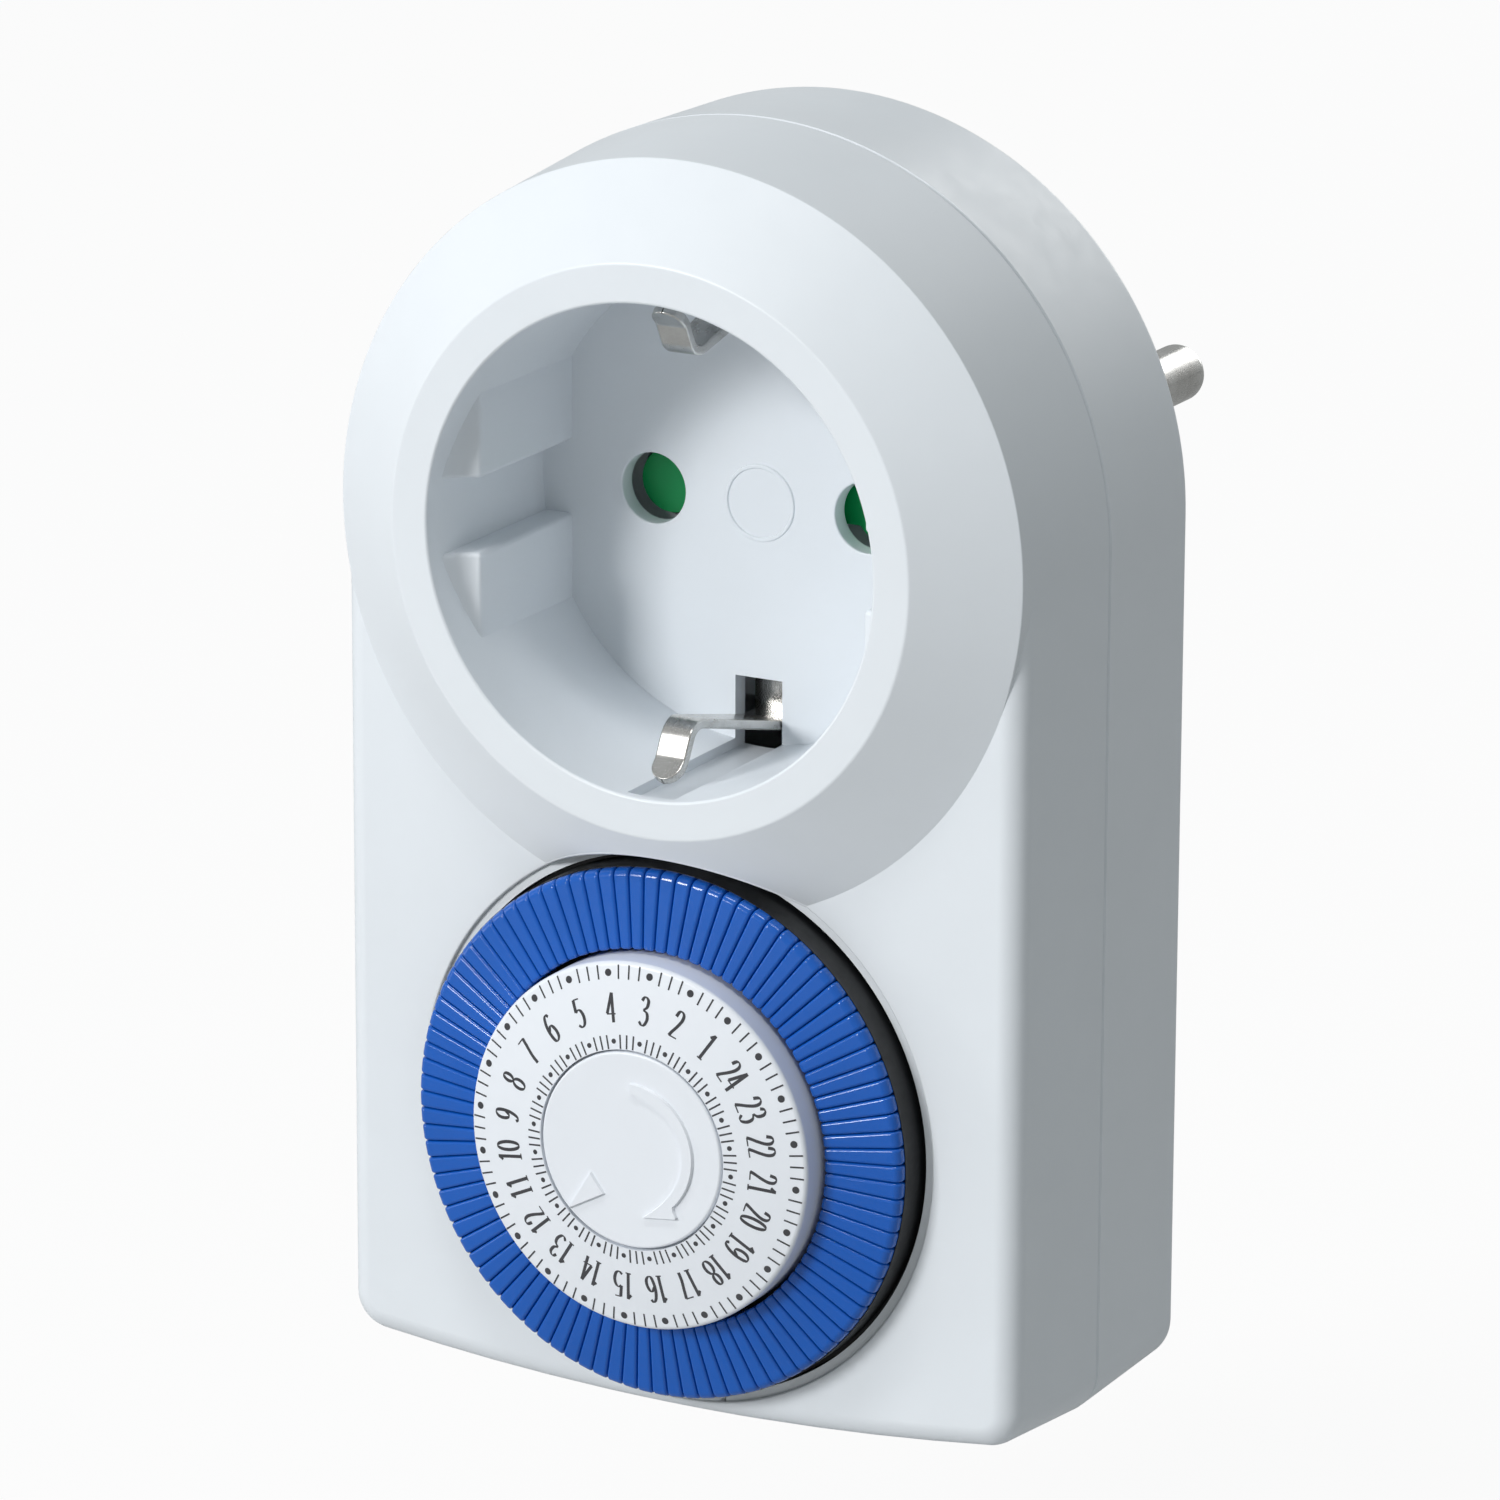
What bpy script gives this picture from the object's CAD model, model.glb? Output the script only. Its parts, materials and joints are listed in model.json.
import json
import math

import bpy
import numpy as np
from mathutils import Matrix, Vector
from mathutils.geometry import tessellate_polygon


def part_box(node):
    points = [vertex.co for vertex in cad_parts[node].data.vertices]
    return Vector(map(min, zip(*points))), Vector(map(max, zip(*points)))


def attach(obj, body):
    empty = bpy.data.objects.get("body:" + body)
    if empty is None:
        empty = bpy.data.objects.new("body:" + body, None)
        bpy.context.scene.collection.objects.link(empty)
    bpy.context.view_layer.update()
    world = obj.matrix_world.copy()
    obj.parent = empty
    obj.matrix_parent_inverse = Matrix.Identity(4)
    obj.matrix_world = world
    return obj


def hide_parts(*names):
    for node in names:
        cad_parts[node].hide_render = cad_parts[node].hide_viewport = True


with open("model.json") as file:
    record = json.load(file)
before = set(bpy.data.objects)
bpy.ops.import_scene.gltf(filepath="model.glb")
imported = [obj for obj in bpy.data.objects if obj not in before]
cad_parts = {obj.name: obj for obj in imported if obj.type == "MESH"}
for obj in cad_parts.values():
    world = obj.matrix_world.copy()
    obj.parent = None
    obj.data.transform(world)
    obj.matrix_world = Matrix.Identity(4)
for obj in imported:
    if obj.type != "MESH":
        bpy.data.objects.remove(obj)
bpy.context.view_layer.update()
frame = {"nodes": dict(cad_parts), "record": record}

# ---------------------------------------------------------------- sizes
# Millimetres. Plans are drawn in x and z about the socket's axis, and a depth runs from the flat front
# towards the wall.

RIM_H = 4.7
SHELL_LO, SHELL_HI = (np.array(corner) * 1000 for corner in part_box("front_housing"))
FRONT_Y = SHELL_LO[1] + RIM_H
SEAM_W = SHELL_HI[2]
FOOT = -SHELL_LO[2]

# housing
SEAM = 12.5
SEAM_GAP = 0.3
SEAM_BEVEL = 0.14
BACK = 27.2
DRAFT = 1.0
WALL = 2.0
CORNER_R = 4.0
BOW_R = 225.0
EDGE_R = 2.0
BACK_EDGE_R = 1.0
BACK_LEAN = 0.3
DISC_W = SEAM_W - DRAFT
RIM_R = 22.6

# socket
WELL_R = 19.5
FLOOR = 13.4
FLOOR_BACK = 15.0
TUBE_R = 21.3
LIP = -3.86
HOLE_X = 9.5
HOLE_R = 2.85
CHANNEL_W = 2.1
CHANNEL_R = 20.3
WINDOW_NEAR = 14.2
RIB_FLAT = 16.85
RIB_NEAR = 2.98
RIB_FAR = 10.2
RIB_EASE = 0.42
RIB_FRONT = -1.0
MARK_R = 2.95

# dial
DIAL_Z = -47.3
RECESS_R = 22.7
RECESS_EASE = 0.2
LEDGE = 0.35
LEDGE_R = 22.0
LEDGE_H = 0.8
SKIRT_R = 24.4
LEVER_ROOM_R = 23.2
LEVER_ROOM = 6.0
DIAL_R = 15.03
HOURS = 24
PER_HOUR = 4
HOUR = 360 / HOURS
TAPPET = HOUR / PER_HOUR
# at rest this hour stands DIAL_TURN degrees to the left of the top
TOP_HOUR = 4
DIAL_TURN = 10.4
RING_R = 21.55
RING_IN = 15.3
SCALE_DEPTH = -6.1
SCALE_R = 14.1
DOME = 150.0
HUB_R = 8.0
HUB_DEPTH = -7.02
RELIEF = 0.28

# plug
COLLAR = 31.7
PLUG_R = 17.8
PLUG_FACE = 50.2
PIN_R = 2.4
PIN_LEN = 19.0


# ---------------------------------------------------------------- surfaces

def place(x, z, depth):
    """Points in millimetres: x across, depth behind the flat front along +Y, z up."""
    x, z, depth = np.broadcast_arrays(x, z, depth)
    return np.stack([x, depth + FRONT_Y, z], -1).astype(float)


def aim(x, z, depth):
    """Directions with the same axes as place()."""
    x, z, depth = np.broadcast_arrays(x, z, depth)
    return np.stack([x, depth, z], -1).astype(float)


def at_depth(plan, depth):
    """Points of a plan, at a depth."""
    return place(plan[..., 0], plan[..., 1], depth)


def in_plan(points):
    """Plan coordinates x and z of points in space."""
    return points[..., [0, 2]]


def ray(degrees):
    """Unit vectors in a plan, from +x towards +z."""
    a = np.radians(degrees)
    return np.stack([np.cos(a), np.sin(a)], -1)


def spread(*marks, step):
    """Rising angles or lengths that hold every mark, with even steps no wider than step between them."""
    parts = []
    for a, b in zip(marks, marks[1:]):
        count = max(1, math.ceil((b - a) / step))
        parts.append(np.linspace(a, b, count, endpoint=False))
    return np.concatenate(parts + [[marks[-1]]])


def turned(vectors, angle):
    """Plane vectors turned counter-clockwise by an angle in radians."""
    c, s = np.cos(angle), np.sin(angle)
    a, b = vectors[..., 0], vectors[..., 1]
    return np.stack([c * a - s * b, s * a + c * b], -1)


def path(*corners, steps=6):
    """Line through corners (a, b) or (a, b, radius), with the unit normals on its left-hand side. A corner
    with a radius becomes an arc: its points are centre - side * radius * normal, where the normal turns
    evenly from the one line's to the next one's. A sharp corner is there twice, once with each line's
    normal. Any value may be an array, and the path then has one row for each of its items."""
    shape = np.broadcast(*[value for corner in corners for value in corner]).shape

    def full(value):
        """Value as an array of the path's shape."""
        return np.broadcast_to(np.asarray(value, float), shape)

    p = np.stack([np.stack([full(c[0]), full(c[1])], -1) for c in corners], -2)
    d = np.diff(p, axis=-2)
    d = d / np.linalg.norm(d, axis=-1, keepdims=True)
    left = np.stack([-d[..., 1], d[..., 0]], -1)
    points, normals = [p[..., 0, :]], [left[..., 0, :]]
    for i, corner in enumerate(corners[1:-1], 1):
        before, after = left[..., i - 1, :], left[..., i, :]
        cross = before[..., 0] * after[..., 1] - before[..., 1] * after[..., 0]
        turn = np.arctan2(cross, (before * after).sum(-1))
        radius = full(corner[2] if len(corner) == 3 else 0)
        reach = (radius * np.abs(np.tan(turn / 2)))[..., None]
        bend = (np.sign(turn) * radius)[..., None]
        centre = p[..., i, :] - d[..., i - 1, :] * reach + bend * before
        for share in np.linspace(0, 1, steps + 1 if len(corner) == 3 else 2):
            normal = turned(before, turn * share)
            points.append(centre - bend * normal)
            normals.append(normal)
    points.append(p[..., -1, :])
    normals.append(left[..., -1, :])
    return np.stack(points, -2), np.stack(normals, -2)


def carried(base, out, profile):
    """Profile of offsets and depths carried along a plan: point = base + out * offset, at that depth."""
    points, normals = profile
    if points.ndim == 2:
        points, normals = points[None], normals[None]
    at = [base[:, None, k] + out[:, None, k] * points[..., 0] for k in (0, 1)]
    way = [out[:, None, k] * normals[..., 0] for k in (0, 1)]
    return place(*at, points[..., 1]), aim(*way, normals[..., 1])


def about(centre, degrees):
    """Plan base and outward directions for a form turned about a centre."""
    out = ray(degrees)
    return np.broadcast_to(np.asarray(centre, float), out.shape), out


def solve(rising, low, high, halvings=48):
    """Where an array function that rises passes zero between low and high, by halving."""
    for _ in range(halvings):
        middle = (low + high) / 2
        below = rising(middle) < 0
        low, high = np.where(below, middle, low), np.where(below, high, middle)
    return (low + high) / 2


class Skin:
    """Triangles with a normal at each corner, gathered patch by patch and welded into one mesh."""

    MIRRORS = {"": [(1, 1)], "x": [(1, 1), (-1, 1)], "z": [(1, 1), (1, -1)],
               "xz": [(1, 1), (-1, 1), (1, -1), (-1, -1)]}

    def __init__(self):
        self.points, self.normals = [], []

    def add(self, points, normals, mirror=""):
        """Adds triangles, arrays of shape (count, 3, 3), and their mirror images in x and in z."""
        for sx, sz in self.MIRRORS[mirror]:
            sides = np.array([sx, 1, sz])
            self.points.append(points * sides)
            self.normals.append(normals * sides)

    def grid(self, points, normals, mirror=""):
        """Adds a surface given on a grid: each cell becomes two triangles. One direction may do for all."""
        normals = np.broadcast_to(normals, points.shape)
        rows, columns = points.shape[:2]
        index = np.arange(rows * columns).reshape(rows, columns)
        a, b, c, d = index[:-1, :-1], index[1:, :-1], index[1:, 1:], index[:-1, 1:]
        tris = np.concatenate([np.stack(half, -1).reshape(-1, 3) for half in ((a, b, c), (a, c, d))])
        self.add(points.reshape(-1, 3)[tris], normals.reshape(-1, 3)[tris], mirror)

    def cap(self, loops, normal, mirror=""):
        """Fills flat loops of points, the first the outline and the others holes in it."""
        every = np.concatenate(loops)
        tris = np.array(tessellate_polygon([[Vector(p) for p in loop] for loop in loops]))
        points = every[tris]
        self.add(points, np.broadcast_to(np.asarray(normal, float), points.shape), mirror)

    def flat(self, loops, depth, facing, mirror=""):
        """Fills plan loops at one depth: facing is -1 towards the viewer, 1 towards the wall."""
        self.cap([at_depth(loop, depth) for loop in loops], (0, facing, 0), mirror)

    def mesh(self, name):
        """Welds corners nearer than a ten-thousandth of a millimetre, drops triangles that close up, and
        turns each triangle so that it faces the way of its normals."""
        points, normals = np.concatenate(self.points), np.concatenate(self.normals)
        every = points.reshape(-1, 3)
        keys = np.round(every * 1e4).astype(np.int64)
        _, first, corner = np.unique(keys, axis=0, return_index=True, return_inverse=True)
        tris = corner.reshape(-1, 3)
        whole = (tris != np.roll(tris, 1, 1)).all(1)
        tris, points, normals = tris[whole], points[whole], normals[whole]
        across = np.cross(points[:, 1] - points[:, 0], points[:, 2] - points[:, 0])
        wrong = (across * normals.sum(1)).sum(-1) < 0
        tris[wrong] = tris[wrong][:, ::-1]
        normals[wrong] = normals[wrong][:, ::-1]
        mesh = bpy.data.meshes.new(name)
        mesh.from_pydata(every[first] * 0.001, [], tris.tolist(), False)
        mesh.normals_split_custom_set(normals.reshape(-1, 3).tolist())
        return mesh


def in_scene(name, data):
    """Makes an object of a mesh, lamp or camera and links it to the scene."""
    obj = bpy.data.objects.new(name, data)
    bpy.context.scene.collection.objects.link(obj)
    return obj


def piece(name, mesh, body, finish, replaces=()):
    """Makes an object of a mesh, gives it its finish and lets it ride on a body."""
    obj = in_scene(name, mesh)
    mesh.materials.append(finish)
    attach(obj, body)
    if replaces:
        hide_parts(*replaces)


# ---------------------------------------------------------------- finishes

class Value:
    """Output of a node that can be reckoned with: each operator adds a Math node."""

    def __init__(self, finish, socket):
        self.finish, self.socket = finish, socket

    def math(self, operation, *values):
        """Adds a Math node on values or links."""
        return self.finish.node("ShaderNodeMath", {"operation": operation}, dict(enumerate(values)))

    def __add__(self, other):
        return self.math("ADD", self, other)

    def __mul__(self, other):
        return self.math("MULTIPLY", self, other)

    __radd__ = __add__
    __rmul__ = __mul__


class Finish:
    """Builder of one material round a Principled shader."""

    def __init__(self, name, **plain):
        self.material = bpy.data.materials.new(name)
        self.material.use_nodes = True
        self.tree = self.material.node_tree
        self.shader = self.tree.nodes["Principled BSDF"]
        for socket, value in plain.items():
            self.shader.inputs[socket.replace("_", " ")].default_value = value

    def node(self, kind, settings=None, inputs=None, output=0):
        """Adds a node: its settings first, then the values or links of its sockets."""
        made = self.tree.nodes.new(kind)
        for key, value in (settings or {}).items():
            setattr(made, key, value)
        for key, value in (inputs or {}).items():
            self.join(made.inputs[key], value)
        return Value(self, made.outputs[output])

    def join(self, socket, value):
        """Links a value's output to a socket, or sets the socket to a plain value."""
        if isinstance(value, Value):
            self.tree.links.new(value.socket, socket)
        else:
            socket.default_value = value

    def set(self, **values):
        """Links or sets inputs of the shader."""
        for socket, value in values.items():
            self.join(self.shader.inputs[socket.replace("_", " ")], value)

    def where(self):
        """Place on the object, in metres."""
        return self.node("ShaderNodeTexCoord", output="Object")

    def noise(self, size_mm, detail=2.0, roughness=0.5, where=None):
        """Cloudy value round 0.5 whose features are about size_mm wide."""
        return self.node("ShaderNodeTexNoise", {"noise_dimensions": "3D"},
                         {"Vector": where or self.where(), "Scale": 1000 / size_mm, "Detail": detail,
                          "Roughness": roughness}, "Fac")

    def blend(self, share, low, high):
        """Colour between two others."""
        return self.node("ShaderNodeMix", {"data_type": "RGBA"}, {0: share, 6: low, 7: high}, 2)

    def span(self, value, low, high, to_low=0.0, to_high=1.0):
        """Value carried from one range to another, held at its ends."""
        return self.node("ShaderNodeMapRange", None, {0: value, 1: low, 2: high, 3: to_low, 4: to_high})

    def bump(self, height, depth_mm):
        """Bent normal of a relief whose height runs from 0 to depth_mm."""
        depth = depth_mm / 1000
        return self.node("ShaderNodeBump", None, {"Height": height, "Distance": depth, "Strength": 1.0})


def srgb(r, g, b):
    """Linear colour from one written as 0 to 255."""
    c = np.array([r, g, b]) / 255
    lin = np.where(c <= 0.04045, c / 12.92, ((c + 0.055) / 1.055) ** 2.4)
    return (*lin.tolist(), 1.0)


def moulded(name, colour, roughness, clouding, grain_mm=0.35, grain_depth=0.0015, wave_depth=0.02):
    """Moulded plastic: faint clouds in the colour, uneven gloss, a fine skin and long shallow waves of
    shrinkage."""
    f = Finish(name)
    cloud = f.noise(size_mm=9, detail=3)
    shade = tuple(c * (1 - clouding) for c in colour[:3]) + (1.0,)
    fine = f.noise(grain_mm, detail=3, roughness=0.6)
    wave = f.noise(size_mm=14, detail=1)
    patches = f.noise(size_mm=2.2, detail=4, roughness=0.65)
    gloss = f.span(patches, 0.3, 0.75, roughness * 0.85, roughness * 1.2)
    skin = f.bump(fine, grain_depth)
    f.join(skin.socket.node.inputs["Normal"], f.bump(wave, wave_depth))
    f.set(Base_Color=f.blend(f.span(cloud, 0.35, 0.7), colour, shade), Roughness=gloss, Normal=skin)
    return f.material


def metal(name, colour, dull, roughness, line_mm=0.12, line_depth=0.003):
    """Worked metal: drawn lines along one way, cloudy tarnish and a roughness that follows both."""
    f = Finish(name, Metallic=1.0)
    lines = f.node("ShaderNodeMapping", None, {"Vector": f.where(), "Scale": (1.0, 0.12, 1.0)})
    grain = f.noise(line_mm, detail=3, roughness=0.6, where=lines)
    tarnish = f.noise(size_mm=3.5, detail=4, roughness=0.6)
    f.set(Base_Color=f.blend(f.span(tarnish, 0.4, 0.75), colour, dull),
          Roughness=f.span(grain * 0.5 + tarnish * 0.5, 0.3, 0.7, roughness * 0.75, roughness * 1.35),
          Normal=f.bump(grain, line_depth))
    return f.material


HOUSING = moulded("housing_white", srgb(234, 239, 244), 0.38, 0.015)
DIAL_WHITE = moulded("dial_white", srgb(237, 241, 247), 0.34, 0.01)
BLUE = moulded("tappet_blue", srgb(16, 92, 188), 0.15, 0.08, grain_mm=0.2, grain_depth=0.009)
INK = moulded("dial_ink", srgb(66, 66, 70), 0.34, 0.2, wave_depth=0.0)
GREEN = moulded("shutter_green", srgb(0, 168, 92), 0.4, 0.12)
BLACK = moulded("carrier_black", srgb(24, 25, 28), 0.5, 0.2)
IVORY = moulded("acetal_ivory", srgb(222, 214, 192), 0.4, 0.05)
NICKEL = metal("nickel_plate", srgb(206, 205, 202), srgb(172, 170, 166), 0.24)
STEEL = metal("zinc_plate", srgb(178, 180, 184), srgb(140, 140, 142), 0.3)
BRASS = metal("turned_brass", srgb(212, 178, 108), srgb(170, 132, 72), 0.28)
COPPER = metal("contact_copper", srgb(206, 152, 112), srgb(160, 104, 70), 0.3)

SLOT_FINISH = {"housing": HOUSING, "nickel": NICKEL, "copper": COPPER, "steel": STEEL, "brass": BRASS,
               "blue": BLUE, "white": DIAL_WHITE, "green": GREEN, "black": BLACK, "ivory": IVORY}


def finish_cad_nodes():
    """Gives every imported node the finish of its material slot."""
    for part in frame["record"]["subparts"]:
        for material_slot in frame["nodes"][part["node"]].material_slots:
            material_slot.material = SLOT_FINISH[part["material_slot"]]


finish_cad_nodes()


# ---------------------------------------------------------------- front housing

def cone_depth(radius):
    """Depth of the cone that carries the rim: it rises evenly from the disc's foot to the rim."""
    return -RIM_H * (DISC_W - radius) / (DISC_W - RIM_R)


LEAN = DRAFT / SEAM
SIDE_TILT = math.degrees(math.atan(LEAN))
# centre of the front edge's rounding, as an offset from the outline at the seam
EDGE_OFF = -LEAN * (SEAM - EDGE_R) - EDGE_R / math.cos(math.radians(SIDE_TILT))
FLAT_W = SEAM_W + EDGE_OFF
RECESS_EDGE = RECESS_R + RECESS_EASE
BOW_Z = BOW_R - FOOT
CORNER_X = SEAM_W - CORNER_R
CORNER_Z = BOW_Z - math.sqrt((BOW_R - CORNER_R) ** 2 - CORNER_X ** 2)
CORNER_END = math.degrees(math.asin(CORNER_X / (BOW_R - CORNER_R)))

# angles from the side at which the disc leaves the edge's rounding, meets the recess and reaches the channel
DISC_END = math.degrees(math.acos(FLAT_W / DISC_W))
RECESS_MEET = 90 - math.degrees(math.acos(
    (DIAL_Z ** 2 + DISC_W ** 2 - RECESS_EDGE ** 2) / (2 * -DIAL_Z * DISC_W)))
CHANNEL_MEET = math.degrees(math.acos(CHANNEL_W / WELL_R))
SPOKES = spread(0, DISC_END, RECESS_MEET, CHANNEL_MEET, 90, step=1.8)
DISC_FOOT_EASE = 0.2
RIM_EASE = 0.5
MOUTH_EASE = 0.25
# degrees by which an angle may miss a mark
TOL = 1e-9
# how many points the outline has round the corner, along the bow up to the recess, and along the bow where
# the recess cuts into its rounding
CORNER_POINTS, BOW_POINTS, CUT_POINTS = 15, 4, 8


def rim_profile(*start):
    """Profile that ends over the rim and in the mouth of the well, after the corners given first."""
    return path(*start, (RIM_R, -RIM_H, RIM_EASE), (WELL_R, -RIM_H, MOUTH_EASE), (WELL_R, LIP), steps=5)


def edge_offset(turn):
    """Offset from the seam's outline of the front edge's rounding at a turn from the side to the front."""
    return EDGE_OFF + EDGE_R * np.cos(np.radians(turn))


def edge_depth(turn):
    """Depth of the same point of that rounding."""
    return EDGE_R - EDGE_R * np.sin(np.radians(turn))


def lower_outline():
    """Outline at the seam from the socket's height down the side, round the corner and along the bow to the
    middle, with the turn at which the edge's rounding ends at each point: at the front, or sooner where the
    disc or the recess cuts into it."""
    disc = SPOKES[SPOKES <= DISC_END + TOL]

    def disc_past_edge(turn):
        """How far the disc's side stands out beyond the edge's rounding."""
        return (DISC_W + LEAN * edge_depth(turn)) * np.cos(np.radians(disc)) - SEAM_W - edge_offset(turn)

    disc_turn = solve(disc_past_edge, np.full(disc.shape, SIDE_TILT), np.full(disc.shape, 90.0))
    disc_z = -(DISC_W + LEAN * edge_depth(disc_turn)) * np.sin(np.radians(disc))
    side = np.stack([np.full(disc.shape, SEAM_W), disc_z], -1)
    corner = ray(-np.linspace(0, 90 - CORNER_END, CORNER_POINTS))
    flat_r = BOW_R + EDGE_OFF
    reach = BOW_Z - DIAL_Z
    meet = math.degrees(math.acos((flat_r ** 2 + reach ** 2 - RECESS_EDGE ** 2) / (2 * flat_r * reach)))
    free = np.linspace(CORNER_END, meet, BOW_POINTS + 1)[1:]
    crossed = np.linspace(meet, 0, CUT_POINTS + 1)[1:]
    bow = ray(np.concatenate([free, crossed]) - 90)
    cut = ray(crossed - 90)

    def edge_past_recess(turn):
        """How far the bow's rounding lies inside the recess."""
        return RECESS_EDGE - np.linalg.norm((BOW_R + edge_offset(turn))[:, None] * cut + [0, reach], axis=1)

    cut_turn = solve(edge_past_recess, np.full(CUT_POINTS, 0.0), np.full(CUT_POINTS, 90.0))
    base = np.concatenate([side, corner * CORNER_R + [CORNER_X, CORNER_Z], bow * BOW_R + [0, BOW_Z]])
    out = np.concatenate([np.tile([1.0, 0.0], (len(side), 1)), corner, bow])
    turn = np.concatenate([disc_turn, np.full(CORNER_POINTS + BOW_POINTS, 90.0), cut_turn])
    return base, out, turn, disc, disc_turn


def front_housing():
    """Front shell: drafted sides and edge rounding carried along the outline, the socket's disc, cone, rim
    and well turned about the socket's axis, and the recess turned about the dial's."""
    skin = Skin()
    base, out, turn, disc, disc_turn = lower_outline()
    lower = SPOKES[SPOKES >= DISC_END - TOL]

    # head, from the seam over the rim to the lip of the well
    foot_depth = edge_depth(SIDE_TILT)
    head = carried(*about((0, 0), SPOKES), rim_profile(
        (SEAM_W, SEAM), (DISC_W + LEAN * foot_depth, foot_depth), (DISC_W, 0, DISC_FOOT_EASE)))
    skin.grid(*head, "x")

    # disc where it stands out of the rounded edge below the socket's height, with its foot's ease limited by
    # its rise, and the lower cone
    rise = np.maximum(edge_depth(disc_turn), 1e-6)
    foot_ease = np.minimum(DISC_FOOT_EASE, 1.8 * rise)
    skin.grid(*carried(*about((0, 0), -disc), rim_profile(
        (DISC_W + LEAN * rise, rise), (DISC_W, 0, foot_ease))), "x")
    away = np.radians(90 - lower)
    half_chord = np.sqrt(np.maximum(0, RECESS_EDGE ** 2 - (DIAL_Z * np.sin(away)) ** 2))
    cut_r = -DIAL_Z * np.cos(away) - half_chord
    meets = lower < RECESS_MEET + TOL
    foot_r = np.where(meets, DISC_W, cut_r)
    cone = carried(*about((0, 0), -lower), rim_profile((foot_r, cone_depth(foot_r))))
    skin.grid(*cone, "x")

    # sides, corners and bowed bottom with their rounded front edge
    steps = SIDE_TILT + (turn[:, None] - SIDE_TILT) * np.linspace(0, 1, 9)
    arc = np.stack([edge_offset(steps), edge_depth(steps)], -1)
    seam_row = np.broadcast_to([0.0, SEAM], (len(turn), 1, 2))
    facing = np.stack([np.cos(np.radians(steps)), -np.sin(np.radians(steps))], -1)
    profile = np.concatenate([seam_row, arc], 1), np.concatenate([facing[:, :1], facing], 1)
    sides = carried(base, out, profile)
    skin.grid(*sides, "x")
    edge = sides[0][:, -1]

    # flat front between the disc, the recess and the rounded edge
    corner = cone[0][meets][-1, 0]
    crossing = edge[-CUT_POINTS - 1]
    angle = [math.degrees(math.atan2(p[0], DIAL_Z - p[2])) for p in (corner, crossing)]
    round_turns = np.linspace(*angle, 60)[1:-1]
    round_plan = np.array([0, DIAL_Z]) + RECESS_EDGE * ray(round_turns - 90)
    round_edge = at_depth(round_plan, 0.0)
    front_points = np.concatenate([cone[0][meets][:, 0], round_edge, edge[len(disc) - 1:-CUT_POINTS][::-1]])
    front_points[:, 1] = FRONT_Y
    skin.cap([front_points[:-1]], (0, -1, 0), "x")

    # wall of the recess, from its eased edge to the seam
    cut_cone = cone[0][lower > RECESS_MEET - TOL]
    rim_points = np.concatenate([edge[-CUT_POINTS - 1:][::-1], round_edge[::-1], cut_cone[:, 0]])
    top = rim_points[:, 1] - FRONT_Y
    way = (in_plan(rim_points) - [0, DIAL_Z]) / RECESS_EDGE
    recess = carried(np.broadcast_to([0.0, DIAL_Z], way.shape), way, path(
        (RECESS_EDGE, top), (RECESS_R, top, RECESS_EASE), (RECESS_R, LEDGE), (LEDGE_R, LEDGE),
        (LEDGE_R, LEDGE + LEDGE_H), (RECESS_R, LEDGE + LEDGE_H), (RECESS_R, LEVER_ROOM),
        (LEVER_ROOM_R, LEVER_ROOM), (LEVER_ROOM_R, SEAM)))
    skin.grid(*recess, "x")

    socket_well(skin)
    front_inside(skin, base, out)
    return skin.mesh("front_shell")


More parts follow.
